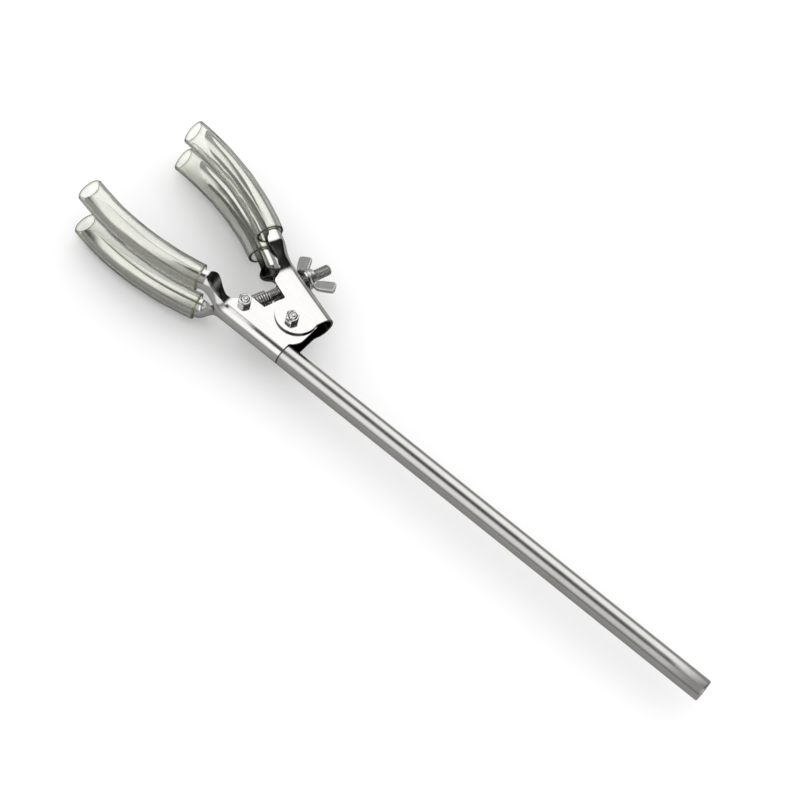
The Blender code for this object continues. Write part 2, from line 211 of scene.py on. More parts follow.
threadSteel = steel("threadSteel", {
    # the third colour on the next line is painted shade, for the thread roots
    "dark": (0.70, 0.68, 0.64), "light": (0.90, 0.88, 0.84), "dull": (0.24, 0.23, 0.21),
    "rough": 0.20, "cloudRough": 0.14, "grainRough": 0.10,
    "grain": (2500.0, 2500.0, 900.0), "grainDepth": 0.000004,
    "cloud": 400.0, "speck": 5000.0, "speckDepth": 0.000003,
    "ripple": 300.0, "rippleDepth": 0.00001,
})
springSteel = steel("springSteel", {
    "dark": (0.70, 0.69, 0.67), "light": (0.90, 0.89, 0.87),
    "rough": 0.16, "cloudRough": 0.08, "grainRough": 0.08,
    "grain": (700.0, 3500.0, 700.0), "grainDepth": 0.000002,
    "cloud": 600.0, "speck": 6000.0, "speckDepth": 0.000001,
    "ripple": 300.0, "rippleDepth": 0.00001,
})
wingNutSteel = steel("wingNutSteel", {
    "dark": (0.74, 0.74, 0.73), "light": (0.93, 0.93, 0.92),
    "rough": 0.33, "cloudRough": 0.10, "grainRough": 0.08,
    "grain": (1200.0, 1200.0, 1200.0), "grainDepth": 0.000002,
    "cloud": 350.0, "speck": 3800.0, "speckDepth": 0.000003,
    "ripple": 180.0, "rippleDepth": 0.00003,
})

vinylLook = {
    "clear": (0.975, 0.98, 0.95), "hazy": (0.93, 0.94, 0.89), "cutTint": (0.50, 0.54, 0.31),
    "rough": 0.02, "haze": 0.08, "cutRough": 0.2, "ior": 1.40, "through": 0.985,
    "drawLines": (60.0, 0.5, 1.0), "lineDepth": 0.000012, "cloud": 90.0, "rippleDepth": 0.00003,
}


def vinyl(name, look):  # soft clear tube, with draw lines along it and darker cut ends
    made, graph, shader = surface(name)
    spot = graph.add("ShaderNodeTexCoord")
    lines = graph.noise(graph.stretched(spot["UV"], look["drawLines"]), 1.0, 3.0, 0.6)
    cloud = graph.noise(spot["Object"], look["cloud"], 2.0)
    cut = graph.add("ShaderNodeAttribute", {"attribute_name": "cut"})["Fac"]
    body = graph.blend(cloud * 0.7 + lines * 0.3, look["clear"], look["hazy"])
    feed(graph, shader, "Base Color", graph.blend(cut, body, look["cutTint"]))
    feed(graph, shader, "Roughness", cloud * look["haze"] + look["rough"] + cut * look["cutRough"])
    feed(graph, shader, "IOR", look["ior"])
    feed(graph, shader, "Transmission Weight", look["through"])
    slow = graph.bump(cloud, look["rippleDepth"])
    feed(graph, shader, "Normal", graph.bump(lines, look["lineDepth"], slow))
    return made


clearVinyl = vinyl("clearVinyl", vinylLook)
print("materials ready")


def pieceOf(name, mesh):
    made = bpy.data.objects.new(name, mesh)
    scene.collection.objects.link(made)
    return made


def meshFrom(name, points, faces):
    mesh = bpy.data.meshes.new(name)
    mesh.from_pydata([tuple(p) for p in points], [], faces)
    return mesh


weldGap = 0.000002


def outward(mesh, weld=True):  # turns the faces outwards, after joining points that meet
    work = bmesh.new()
    work.from_mesh(mesh)
    if weld:
        bmesh.ops.remove_doubles(work, verts=work.verts, dist=weldGap)
    bmesh.ops.recalc_face_normals(work, faces=work.faces)
    work.to_mesh(mesh)
    work.free()


def step(piece, name, kind, **settings):
    made = piece.modifiers.new(name, kind)
    for key, value in settings.items():
        setattr(made, key, value)


def cut(piece, tool, operation="DIFFERENCE"):
    step(piece, tool.name, "BOOLEAN", operation=operation, solver="EXACT", object=tool)


def rounded(piece, width, segments=2, angle=40.0):
    step(piece, "edges", "BEVEL", width=width, segments=segments, limit_method="ANGLE",
         angle_limit=math.radians(angle), use_clamp_overlap=True)


def settle(piece, tools=()):  # turns the modifiers' result into the piece's own mesh
    bpy.context.view_layer.update()
    got = piece.evaluated_get(bpy.context.evaluated_depsgraph_get())
    mesh = bpy.data.meshes.new_from_object(got)
    piece.modifiers.clear()
    piece.data = mesh
    for tool in tools:
        bpy.data.objects.remove(tool, do_unlink=True)


def shade(mesh, angle=35.0):
    limit = math.radians(angle)
    work = bmesh.new()
    work.from_mesh(mesh)
    for edge in work.edges:
        edge.smooth = len(edge.link_faces) == 2 and edge.calc_face_angle(0.0) < limit
    for face in work.faces:
        face.smooth = True
    work.to_mesh(mesh)
    work.free()


def finishPiece(piece, material, body, node, angle=35.0):
    piece.data.materials.clear()
    piece.data.materials.append(material)
    shade(piece.data, angle)
    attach(piece, body)
    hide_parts(node)
    print("made", piece.name, len(piece.data.polygons))


def prism(name, outline, low, high, matrix):
    count = len(outline)
    points = [matrix @ Vector((x, y, z)) for z in (low, high) for x, y in outline]
    faces = [tuple(range(count))[::-1], tuple(range(count, 2 * count))]
    faces += [(i, (i + 1) % count, count + (i + 1) % count, count + i) for i in range(count)]
    mesh = meshFrom(name, points, faces)
    outward(mesh)
    made = pieceOf(name, mesh)
    made.hide_render = True
    return made


def circle(radius, count=64):
    return [(radius * math.cos(2 * math.pi * i / count), radius * math.sin(2 * math.pi * i / count))
            for i in range(count)]


def turned(name, profile, matrix, count=72, ring=False):
    # (radius, height) pairs swept round Z; ring joins the last pair to the first
    points, faces, rows = [], [], []
    for radius, height in profile:
        if radius < 1e-9:
            rows.append([len(points)] * count)
            points.append(matrix @ Vector((0, 0, height)))
            continue
        rows.append(list(range(len(points), len(points) + count)))
        points += [matrix @ Vector((x, y, height)) for x, y in circle(radius, count)]
    pairs = list(zip(rows, rows[1:])) + ([(rows[-1], rows[0])] if ring else [])
    for a, b in pairs:
        for i in range(count):
            j = (i + 1) % count
            face = [a[i], a[j], b[j], b[i]]
            face = [p for k, p in enumerate(face) if p not in face[:k]]
            if len(face) > 2:
                faces.append(tuple(face))
    mesh = meshFrom(name, points, faces)
    outward(mesh)
    return pieceOf(name, mesh)


def arc(centre, radius, first, last, count):
    return [(centre[0] + radius * math.cos(math.radians(first + (last - first) * i / count)),
             centre[1] + radius * math.sin(math.radians(first + (last - first) * i / count)))
            for i in range(count + 1)]


def spaced(low, high, count):
    return [low + (high - low) * i / count for i in range(count + 1)]


def smooth(value):
    value = min(max(value, 0.0), 1.0)
    return value * value * (3 - 2 * value)


def along(value, table):
    if value <= table[0][0]:
        return table[0][1]
    for (a, va), (b, vb) in zip(table, table[1:]):
        if value <= b:
            return va + (vb - va) * (value - a) / (b - a)
    return table[-1][1]


def eased(value, table, reach=0.9):  # the same reading with its corners rounded
    return sum(along(value + reach * k / 3, table) for k in range(-3, 4)) / 7


# each jaw is one sheet, drawn in its own plane (s, h) round the pivot
pivot = Vector((-278.7, 15.2, 0.0)) * mm
link = Vector((-303.0, 6.35, 0.0)) * mm
restTilt = math.radians(17.46)
lowAxes = ((-1.0, 0.0), (0.0, -1.0))
upAxes = ((-math.cos(restTilt), math.sin(restTilt)), (math.sin(restTilt), math.cos(restTilt)))
pathStep = 0.25 * mm
# the last entry sets how far the painted shade on the channel's inside fades out into the sleeves
sheet = {"gauge": 1.2 * mm, "trough": 5.0 * mm, "around": 23, "wall": 0.86, "tipSpread": 0.10, "lateness": 2.4,
         "tuckBefore": 5.5 * mm, "tuckOver": 4.5 * mm, "hole": 2.3 * mm, "toolReach": 22 * mm,
         "dullFade": 9.0 * mm}

lowJaw = {
    "axes": lowAxes, "start": -14.0, "centre": 15.2, "radius": 5.4,
    "tilt": [(34, 0), (44.5, 16.5), (47.5, 15.7), (123, -13)],
    "flare": (25.0, 45.0), "crotch": 34.0, "apart": (13.2, 15.4), "sleeve": (46.6, 123.0),
    "tip": 119.5, "spoon": 13.0, "spread": [(46, 112), (60, 108), (84, 94), (120, 84)],
    "rim": [(26, -31), (29, -8), (31, -3.4), (34, -2.4), (37, -3.2), (40, -5.0),
            (43.5, -5.2), (46, -4.4), (49, -2.4)],
    "outline": [(36.0, -40), (36.0, 10.6), (34.6, 11.7), (33.0, 12.3), (32.0, 12.25), (31.0, 11.9),
                (29.7, 10.9), (28.6, 9.6), (27.7, 8.0), (26.9, 6.2), (26.3, 5.2), (25.6, 4.5),
                (24.8, 4.0), (23.9, 3.8), (15.2, 3.8)]
    + arc((0, 0), 13.5, -10, -151.8, 56)
    + [(-11.9, 5.4), (-11.75, 6.4), (-11.4, 7.3), (-10.8, 8.6), (-9.9, 10.0), (-9.3, 10.7),
       (-8.7, 11.2), (-8.1, 11.9), (-8.1, 30), (-40, 30), (-40, -40)],
}
upJaw = {
    "axes": upAxes, "start": -12.0, "centre": 13.3, "radius": 6.9,
    "tilt": [(32, 0), (43, 12.6), (47.5, 11.9), (122, -17)],
    "flare": (20.0, 41.0), "crotch": 31.0, "apart": (12.0, 13.8), "sleeve": (47.2, 121.0),
    "tip": 116.0, "spoon": 13.0, "spread": [(41, 112), (56, 108), (80, 94), (116, 84)],
    "rim": [(23, -22.5), (26, -8), (28, -3.2), (31, -2.1), (34, -1.6), (37, -3.2), (40, -4.2),
            (43, -3.8), (47, -2.2)],
    "outline": [(30.5, -30), (30.5, 11.6), (29.2, 11.2), (28.0, 10.2), (27.0, 9.2), (26.2, 8.0),
                (25.7, 7.1), (25.3, 6.2), (25.0, 5.65), (24.6, 5.2), (23.9, 4.7), (22.9, 4.4),
                (13.0, 3.9)]
    + arc((1.2, 3.8), 11.4, -2, -209.3, 84)
    + [(-8.7, 30), (-30, 30), (-30, -30)],
}
for spec in (lowJaw, upJaw):  # millimetres to metres
    for key in ("start", "centre", "radius", "tip", "spoon", "crotch"):
        spec[key] *= mm
    for key in ("flare", "apart", "sleeve"):
        spec[key] = tuple(v * mm for v in spec[key])
    spec["outline"] = [(s * mm, h * mm) for s, h in spec["outline"]]
    spec["path"] = []
    s, h, q = spec["start"], spec["centre"], spec["start"]
    while q <= spec["sleeve"][1] + 4 * mm:
        lean = math.radians(along(q / mm, spec["tilt"]))
        spec["path"].append((s, h, lean))
        s, h, q = s + pathStep * math.cos(lean), h + pathStep * math.sin(lean), q + pathStep


def onPath(jaw, q):
    place = (q - jaw["start"]) / pathStep
    low = min(max(int(place), 0), len(jaw["path"]) - 2)
    a, b = jaw["path"][low], jaw["path"][low + 1]
    return [a[i] + (b[i] - a[i]) * (place - low) for i in range(3)]


def opening(jaw, q):  # from channel, 0, to finger, 1, slowly at first
    begin, root = jaw["flare"]
    return smooth((q - begin) / (root - begin)) ** sheet["lateness"]


def fingerSide(jaw, q):  # sideways place of a finger's centre line
    root, (near, far) = jaw["flare"][1], jaw["apart"]
    run = max(q - root, 0) / (jaw["sleeve"][1] - root)
    return opening(jaw, q) * (near + (far - near) * run)


def halfSection(jaw, q, count):  # (z, outward) from the middle of the sheet to its rim
    wide = opening(jaw, q)
    end = jaw["tip"] - q
    spread = math.radians(eased(q / mm, jaw["spread"]))
    if end < jaw["spoon"]:
        least = sheet["tipSpread"]
        spread *= least + (1 - least) * max(1 - (1 - end / jaw["spoon"]) ** 2, 0.0) ** 0.5
    wall = min(math.pi / 2, spread * sheet["wall"])
    side, radius, trough = fingerSide(jaw, q), jaw["radius"], sheet["trough"]
    found = []
    for i in range(count - 1):
        swing = math.pi / 2 * i / (count - 2)
        bend = -spread + (spread + wall) * i / (count - 2)
        channel = (radius * math.sin(swing), radius * math.cos(swing))
        gutter = (trough * math.sin(bend), trough * math.cos(bend))
        found.append((channel[0] + (gutter[0] - channel[0]) * wide + side,
                      channel[1] + (gutter[1] - channel[1]) * wide))
    inside = smooth((q - jaw["sleeve"][0] + sheet["tuckBefore"]) / sheet["tuckOver"])
    rim = (found[-1][0], eased(q / mm, jaw["rim"], 0.5) * mm)
    tuck = (side + trough * math.sin(spread), trough * math.cos(spread))
    found.append(tuple(a + (b - a) * inside for a, b in zip(rim, tuck)))
    return found


def world(jaw, s, h, z):
    x, y = jaw["axes"]
    return pivot + Vector((s * x[0] + h * y[0], s * x[1] + h * y[1], z))


def onJaw(jaw, q, z, out):
    s, h, lean = onPath(jaw, q)
    return world(jaw, s - out * math.sin(lean), h + out * math.cos(lean), z)


def stampedJaw(name, jaw, holes):
    tip, spoon, (begin, root) = jaw["tip"], jaw["spoon"], jaw["flare"]
    stations = spaced(jaw["start"], begin, 12)[:-1] + spaced(begin, jaw["crotch"], 24)[:-1]
    past = root + 2 * mm
    stations += spaced(jaw["crotch"], past, 32)[:-1] + spaced(past, tip - spoon, 44)[:-1]
    stations += [tip - spoon * (1 - i / 22) ** 1.6 for i in range(23)]
    count = sheet["around"]
    points, faces, rows = [], [], []
    for q in stations:
        half = halfSection(jaw, q, count)
        joined = q <= jaw["crotch"]
        if joined:
            half[0] = (0.0, half[0][1])
        right = list(range(len(points), len(points) + count))
        points += [onJaw(jaw, q, z, out) for z, out in half]
        left = [right[0]] if joined else []
        first = len(left)
        left += list(range(len(points), len(points) + count - first))
        points += [onJaw(jaw, q, -z, out) for z, out in half[first:]]
        rows.append((right, left))
    for (rightA, leftA), (rightB, leftB) in zip(rows, rows[1:]):
        for i in range(count - 1):
            faces.append((rightA[i], rightA[i + 1], rightB[i + 1], rightB[i]))
            faces.append((leftA[i], leftB[i], leftB[i + 1], leftA[i + 1]))
    mesh = meshFrom(name, points, faces)
    outward(mesh, weld=False)
    made = pieceOf(name, mesh)
    for _ in range(2):  # the second slot only tells the inner skin from the outer, until the inner skin gets its painted shade
        mesh.materials.append(None)
    step(made, "gauge", "SOLIDIFY", thickness=sheet["gauge"], offset=0.0, use_even_offset=True,
         material_offset=1)
    flat = [world(jaw, s, h, 0.0) for s, h in jaw["outline"]]
    reach = sheet["toolReach"]
    tools = [prism(name + "Outline", [(p.x, p.y) for p in flat], -reach, reach, Matrix())]
    tools += [prism(f"{name}Hole{i}", circle(sheet["hole"], 48), -reach, reach, Matrix.Translation(at))
              for i, at in enumerate(holes)]
    return made, tools


def paintedShadeInside(made, jaw):  # painted shade on the inside of the channel, fading out inside the sleeves
    mesh, mouth = made.data, jaw["sleeve"][0]
    line = spaced(jaw["start"], jaw["tip"], 200)
    tree = KDTree(len(line))
    for i, q in enumerate(line):
        tree.insert(onJaw(jaw, q, 0.0, 0.0), i)
    tree.balance()
    facing = sum(f.normal.z * f.center.z * f.area for f in mesh.polygons if f.material_index)
    inner = 1 if facing < 0 else 0
    marks = []
    for face in mesh.polygons:
        q = line[tree.find((face.center.x, face.center.y, 0.0))[1]]
        marks.append(1 - smooth((q - mouth) / sheet["dullFade"]) if face.material_index == inner else 0.0)
        face.material_index = 0
    mesh.materials.clear()
    # the stored mark drives the painted shade colour of the steel
    mesh.attributes.new("dull", "FLOAT", "FACE").data.foreach_set("value", marks)


lower, tools = stampedJaw("lowerJaw", lowJaw, (pivot, link))
for tool in tools:
    cut(lower, tool)
settle(lower, tools)
# paints shade on the inside of the lower jaw's channel
paintedShadeInside(lower, lowJaw)
finishPiece(lower, polishedSteel, "fixed_jaw", "lower_jaw")

sAxis, hAxis = Vector((*upAxes[0], 0.0)), Vector((*upAxes[1], 0.0))
zAxis = hAxis.cross(sAxis)
screwSlot = {"from": 14.0 * mm, "to": 28.6 * mm, "half": 3.5 * mm, "through": (14 * mm, 26 * mm)}
slotHalf = screwSlot["half"]
halfTurn = spaced(0, math.pi, 20)
slotLine = [(screwSlot["to"] - slotHalf + slotHalf * math.sin(a), slotHalf * math.cos(a)) for a in halfTurn]
slotLine += [(screwSlot["from"] + slotHalf - slotHalf * math.sin(a), -slotHalf * math.cos(a)) for a in halfTurn]
slotFrame = Matrix((sAxis, -sAxis.cross(hAxis), hAxis)).transposed().to_4x4()
upper, tools = stampedJaw("upperJaw", upJaw, (pivot,))
tools.append(prism("slotTool", slotLine, *screwSlot["through"], Matrix.Translation(pivot) @ slotFrame))
for tool in tools:
    cut(upper, tool)
settle(upper, tools)
# paints shade on the inside of the upper jaw's channel
paintedShadeInside(upper, upJaw)
finishPiece(upper, polishedSteel, "moving_jaw", "upper_jaw")

# a length of clear tube over each finger, with its wall and cut ends
tube = {"outer": 7.3 * mm, "wall": 1.4 * mm, "lip": 0.25 * mm, "around": 64, "along": 60,
        "sag": 0.18 * mm, "sagTurns": (0.21, 0.13), "cutFade": 0.9, "linesPerMm": 0.05}


def sleeve(name, jaw, side, begin, end, body, node):
    outer, inner, lip = tube["outer"], tube["outer"] - tube["wall"], tube["lip"]
    run = spaced(begin + lip, end - lip, tube["along"])
    turns = [(lip * math.sin(a), lip * math.cos(a)) for a in spaced(0, math.pi / 2, 4)]
    loop = [(q, outer) for q in run]  # out along the outside, round the lip, back inside
    loop += [(end - lip + s, outer - lip + c) for s, c in turns[1:]]
    loop += [(end, inner + lip * 1.2)]
    loop += [(end - lip + c, inner + lip - s) for s, c in turns]
    loop += [(q, inner) for q in run[::-1][1:]]
    loop += [(begin + lip - s, inner + lip - c) for s, c in turns[1:]]
    loop += [(begin, outer - lip * 1.2)]
    loop += [(begin + lip - c, outer - lip + s) for s, c in turns[:-1]]
    around, points, faces, cuts, uvs = tube["around"], [], [], [], []
    for q, radius in loop:
        for i in range(around):
            turn = 2 * math.pi * i / around
            three, two = (q / mm * rate for rate in tube["sagTurns"])
            ripple = tube["sag"] * (math.sin(3 * turn + three) + math.sin(2 * turn - two))
            reach = radius - abs(ripple) * 0.5  # never outside the tube's round section
            across = side * fingerSide(jaw, q) + reach * math.sin(turn)
            points.append(onJaw(jaw, q, across, reach * math.cos(turn)))
            nearest = min(q - begin, end - q) / mm
            cuts.append(max(0.0, 1.0 - nearest / tube["cutFade"]))
    for a in range(len(loop)):
        b = (a + 1) % len(loop)
        for i in range(around):
            j = (i + 1) % around
            faces.append((a * around + i, a * around + j, b * around + j, b * around + i))
            length = tuple(loop[k][0] / mm * tube["linesPerMm"] for k in (a, b))
            uvs += [(i / around, length[0]), ((i + 1) / around, length[0]),
                    ((i + 1) / around, length[1]), (i / around, length[1])]
    mesh = meshFrom(name, points, faces)
    layer = mesh.uv_layers.new(name="tube")
    for spot, uv in zip(layer.data, uvs):
        spot.uv = uv
    mesh.attributes.new("cut", "FLOAT", "POINT").data.foreach_set("value", cuts)
    outward(mesh, weld=False)
    finishPiece(pieceOf(name, mesh), clearVinyl, body, node, 60.0)


sleeve("sleeveLowerNear", lowJaw, 1, 47.6 * mm, 123.2 * mm, "fixed_jaw", "sleeve_lower_near")
sleeve("sleeveLowerFar", lowJaw, -1, 46.6 * mm, 123.4 * mm, "fixed_jaw", "sleeve_lower_far")
sleeve("sleeveUpperNear", upJaw, 1, 47.2 * mm, 120.6 * mm, "moving_jaw", "sleeve_upper_near")
sleeve("sleeveUpperFar", upJaw, -1, 51.0 * mm, 124.0 * mm, "moving_jaw", "sleeve_upper_far")

# the rod has a turned-down end in the lower jaw's round back
rod = {"radius": 6.0 * mm, "shoulder": -270.0 * mm, "spigot": 4.5 * mm, "end": -294.0 * mm,
       "chamfer": 0.5 * mm}
alongX = Matrix.Rotation(math.radians(90), 4, "Y")
rodLine = [(0.0, 0.0), (rod["radius"] - rod["chamfer"] - 0.08 * mm, 0.0)]
rodLine += [(rod["radius"] - rod["chamfer"] + 0.02 * mm, -0.03 * mm),
            (rod["radius"] - 0.05 * mm, -rod["chamfer"] + 0.07 * mm),
            (rod["radius"], -rod["chamfer"] - 0.10 * mm)]
rodLine += [(rod["radius"], rod["shoulder"] * k / 12) for k in range(1, 12)]
rodLine += [(rod["radius"], rod["shoulder"] + 0.15 * mm), (rod["radius"] - 0.12 * mm, rod["shoulder"]),
            (rod["spigot"], rod["shoulder"]), (rod["spigot"], rod["end"] + 0.5 * mm),
            (rod["spigot"] - 0.5 * mm, rod["end"]), (0.0, rod["end"])]
rodPiece = turned("rodBar", rodLine, alongX, 128)
finishPiece(rodPiece, drawnSteel, "fixed_jaw", "rod")


def treeWith(name, sizes):
    tree = bpy.data.node_groups.new(name, "GeometryNodeTree")
    for label, kind in sizes:
        tree.interface.new_socket(name=label, in_out="INPUT", socket_type=kind)
    tree.interface.new_socket(name="Geometry", in_out="OUTPUT", socket_type="NodeSocketGeometry")
    graph = Graph(tree)
    return tree, graph, graph.add("NodeGroupInput")


def endTree(graph, geometry, material):
    real = graph.add("GeometryNodeRealizeInstances", {}, {0: geometry})[0]
    painted = graph.add("GeometryNodeSetMaterial", {}, {"Geometry": real, "Material": material})[0]
    graph.add("NodeGroupOutput", {}, {0: painted})


def grown(name, tree, values, matrix):  # runs a tree and keeps its result as a plain mesh
    made = pieceOf(name, bpy.data.meshes.new(name))
    run = made.modifiers.new("grow", "NODES")
    run.node_group = tree
    for item in tree.interface.items_tree:
        if item.in_out == "INPUT" and item.name in values:
            run[item.identifier] = values[item.name]
    settle(made)
    made.data.transform(matrix)
    outward(made.data)
    return made


def threadTree(material):
    sizes = [("Radius", "NodeSocketFloat"), ("Depth", "NodeSocketFloat"), ("Pitch", "NodeSocketFloat"),
             ("Length", "NodeSocketFloat"), ("Chamfer", "NodeSocketFloat"), ("Rows", "NodeSocketInt"),
             ("Around", "NodeSocketInt")]
    flat = 0.12  # share of the pitch left flat at crest and root
    tree, graph, given = treeWith("threadedBar", sizes)
    grid = graph.add("GeometryNodeMeshGrid", {}, {
        "Size X": 2 * math.pi, "Size Y": given["Length"],
        "Vertices X": given["Around"], "Vertices Y": given["Rows"]})["Mesh"]
    spot = graph.add("ShaderNodeSeparateXYZ", {}, {0: graph.add("GeometryNodeInputPosition")[0]})
    turn, height = spot["X"], spot["Y"] + given["Length"] * 0.5
    phase = (height / given["Pitch"] - turn / (2 * math.pi) + 100.0).sum("FRACT")
    slope = ((phase - 0.5).sum("ABSOLUTE") * 2.0 - flat) / (1 - 2 * flat)
    deep = slope.clamped()
    radius = given["Radius"] - deep * given["Depth"]
    limit = given["Radius"] - given["Chamfer"] + (given["Length"] - height)
    kept = radius.sum("MINIMUM", limit)
    hair = 0.000001
    inside = height.sum("GREATER_THAN", hair) * (given["Length"] - height).sum("GREATER_THAN", hair)
    kept = kept * inside
    moved = graph.add("ShaderNodeCombineXYZ", {}, {
        0: kept * turn.sum("COSINE"), 1: kept * turn.sum("SINE"), 2: height})[0]
    # painted shade in the thread roots: the depth below the crest is stored as the mask for the steel's dark
    # tone
    marked = graph.add("GeometryNodeStoreNamedAttribute", {"data_type": "FLOAT", "domain": "POINT"},
                       {"Geometry": grid, "Name": "dull", "Value": deep * inside})[0]
    placed = graph.add("GeometryNodeSetPosition", {}, {"Geometry": marked, "Position": moved})[0]
    closed = graph.add("GeometryNodeMergeByDistance", {}, {"Geometry": placed, "Distance": weldGap})[0]
    endTree(graph, closed, material)
    return tree


def springTree(material):
    sizes = [("Turns", "NodeSocketFloat"), ("Wire", "NodeSocketFloat"), ("Low Radius", "NodeSocketFloat"),
             ("High Radius", "NodeSocketFloat"), ("Height", "NodeSocketFloat")]
    tree, graph, given = treeWith("coiledWire", sizes)
    spiral = graph.add("GeometryNodeCurveSpiral", {}, {
        "Resolution": 40, "Rotations": given["Turns"], "Start Radius": given["Low Radius"],
        "End Radius": given["High Radius"], "Height": given["Height"]})[0]
    wire = graph.add("GeometryNodeCurvePrimitiveCircle", {}, {"Resolution": 14, "Radius": given["Wire"]})[0]
    swept = graph.add("GeometryNodeCurveToMesh", {}, {
        "Curve": spiral, "Profile Curve": wire, "Fill Caps": True})[0]
    endTree(graph, swept, material)
    return tree


threads = threadTree(threadSteel)
shankTurn = Matrix((zAxis, hAxis.cross(zAxis), hAxis)).transposed()


def onScrew(height):
    return Matrix.Translation(link + hAxis * height) @ shankTurn.to_4x4()


# adjusting screw: a threaded shank and the eye that hangs on the link bolt
screw = {"radius": 2.95 * mm, "depth": 0.46 * mm, "pitch": 1.0 * mm, "from": 2.6 * mm,
         "length": 53.0 * mm, "chamfer": 0.9 * mm, "eye": 5.3 * mm, "width": 4.4 * mm, "bore": 2.3 * mm,
         "edges": (0.3 * mm, 1.0 * mm)}
shank = grown("eyeScrew", threads, {
    "Radius": screw["radius"], "Depth": screw["depth"], "Pitch": screw["pitch"],
    "Length": screw["length"] - screw["from"], "Chamfer": screw["chamfer"], "Rows": 420, "Around": 41,
}, onScrew(screw["from"]))
half = screw["width"] / 2
inEdge, outEdge = screw["edges"]
eyeLine = [(screw["bore"], half - inEdge), (screw["bore"] + inEdge, half), (screw["eye"] - outEdge, half)]
eyeLine += arc((screw["eye"] - outEdge, half - outEdge), outEdge, 75, 0, 5)
eyeLine += [(r, -z) for r, z in eyeLine[::-1]]
eye = turned("screwEye", eyeLine, Matrix.Translation(link), 64, ring=True)
cut(shank, eye, "UNION")
bore = prism("eyeBore", circle(screw["bore"], 64), -5 * mm, 5 * mm, Matrix.Translation(link))
cut(shank, bore)
settle(shank, (eye, bore))
finishPiece(shank, threadSteel, "screw", "eye_screw", 30.0)

spring = {"turns": 6.0, "wire": 0.45 * mm, "low": 4.05 * mm, "high": 3.75 * mm, "from": 6.4 * mm,
          "rise": 8.6 * mm}
coil = grown("springCoil", springTree(springSteel), {
    "Turns": spring["turns"], "Wire": spring["wire"], "Low Radius": spring["low"],
    "High Radius": spring["high"], "Height": spring["rise"]}, onScrew(spring["from"]))
finishPiece(coil, springSteel, "screw", "spring", 50.0)

washer = {"base": 37.0 * mm, "radius": 6.2 * mm, "thick": 1.2 * mm, "bore": 3.25 * mm, "edge": 0.25 * mm}
e, top = washer["edge"], washer["thick"]
washerLine = [(washer["bore"] + 0.1 * mm, top), (washer["radius"] - e, top)]
washerLine += arc((washer["radius"] - e, top - e), e, 75, 0, 4)
washerLine += [(washer["radius"], 0.08 * mm), (washer["radius"] - 0.08 * mm, 0.0), (washer["bore"], 0.0),
               (washer["bore"], top - 0.1 * mm)]
plate = turned("thrustWasher", washerLine, onScrew(washer["base"]), 96, ring=True)
finishPiece(plate, boltSteel, "washer", "thrust_washer")

wingNut = {"base": 38.5 * mm, "top": 43.2 * mm, "bore": 3.25 * mm, "turn": math.radians(74.0),
           "thick": 2.4 * mm, "voxel": 0.16 * mm, "edge": 0.55 * mm}
hub = wingNut["top"] - wingNut["base"]
nutFrame = onScrew(wingNut["base"]) @ Matrix.Rotation(wingNut["turn"], 4, "Z")
hubLine = [(wingNut["bore"], hub), (4.0 * mm, hub), (4.35 * mm, hub - 0.12 * mm),
           (4.6 * mm, hub - 0.5 * mm), (4.85 * mm, hub - 1.3 * mm), (5.25 * mm, hub - 2.3 * mm),
           (5.6 * mm, 1.7 * mm), (5.75 * mm, 1.2 * mm), (5.8 * mm, 0.6 * mm), (5.72 * mm, 0.2 * mm),
           (5.5 * mm, 0.0), (wingNut["bore"], 0.0)]
nut = turned("wingNut", hubLine, nutFrame, 72, ring=True)
wingLine = [(4.2, 0.4), (6.5, 0.32), (8.9, 0.42), (9.7, 0.7), (10.5, 1.25), (12.8, 3.3), (15.0, 5.5),
            (15.5, 6.2), (15.6, 6.8), (15.4, 7.5), (14.4, 8.7), (12.4, 10.65), (11.9, 10.95), (11.4, 11.0),
            (10.9, 10.9), (10.3, 10.5), (8.4, 8.5), (6.6, 6.6), (5.6, 5.2), (4.9, 4.1), (4.5, 3.5),
            (4.2, 3.0)]
upright = Matrix.Rotation(math.radians(90), 4, "X")
tools = []
for side in (1, -1):
    flat = [(side * x * mm, z * mm) for x, z in wingLine]
    wing = prism(f"wing{side + 1}", flat, -wingNut["thick"] / 2, wingNut["thick"] / 2, nutFrame @ upright)
    rounded(wing, wingNut["edge"], 4, 50.0)
    cut(nut, wing, "UNION")
    tools.append(wing)
step(nut, "cast", "REMESH", mode="VOXEL", voxel_size=wingNut["voxel"], adaptivity=0.0)
step(nut, "soften", "SMOOTH", factor=0.5, iterations=5)
settle(nut, tools)
bore = prism("nutBore", circle(wingNut["bore"], 64), -3 * mm, 20 * mm, nutFrame)
cut(nut, bore)
settle(nut, (bore,))
finishPiece(nut, wingNutSteel, "nut", "wing_nut", 50.0)

# hexagon bolts and nuts on the two hinges
hexagon = {"flats": 6.6 * mm, "height": 2.9 * mm, "head": 2.6 * mm, "bore": 2.27 * mm, "bolt": 1.97 * mm,
           "depth": 0.3 * mm, "pitch": 0.7 * mm, "edge": 0.07 * mm, "gap": 0.3 * mm,
           "corner": 30, "proud": 0.8 * mm, "dome": (1.62 * mm, 0.85 * mm)}


def hexLine(flats):
    reach = flats / math.sqrt(3)
    return [(reach * math.cos(a), reach * math.sin(a)) for a in spaced(0, 2 * math.pi, 6)[:-1]]


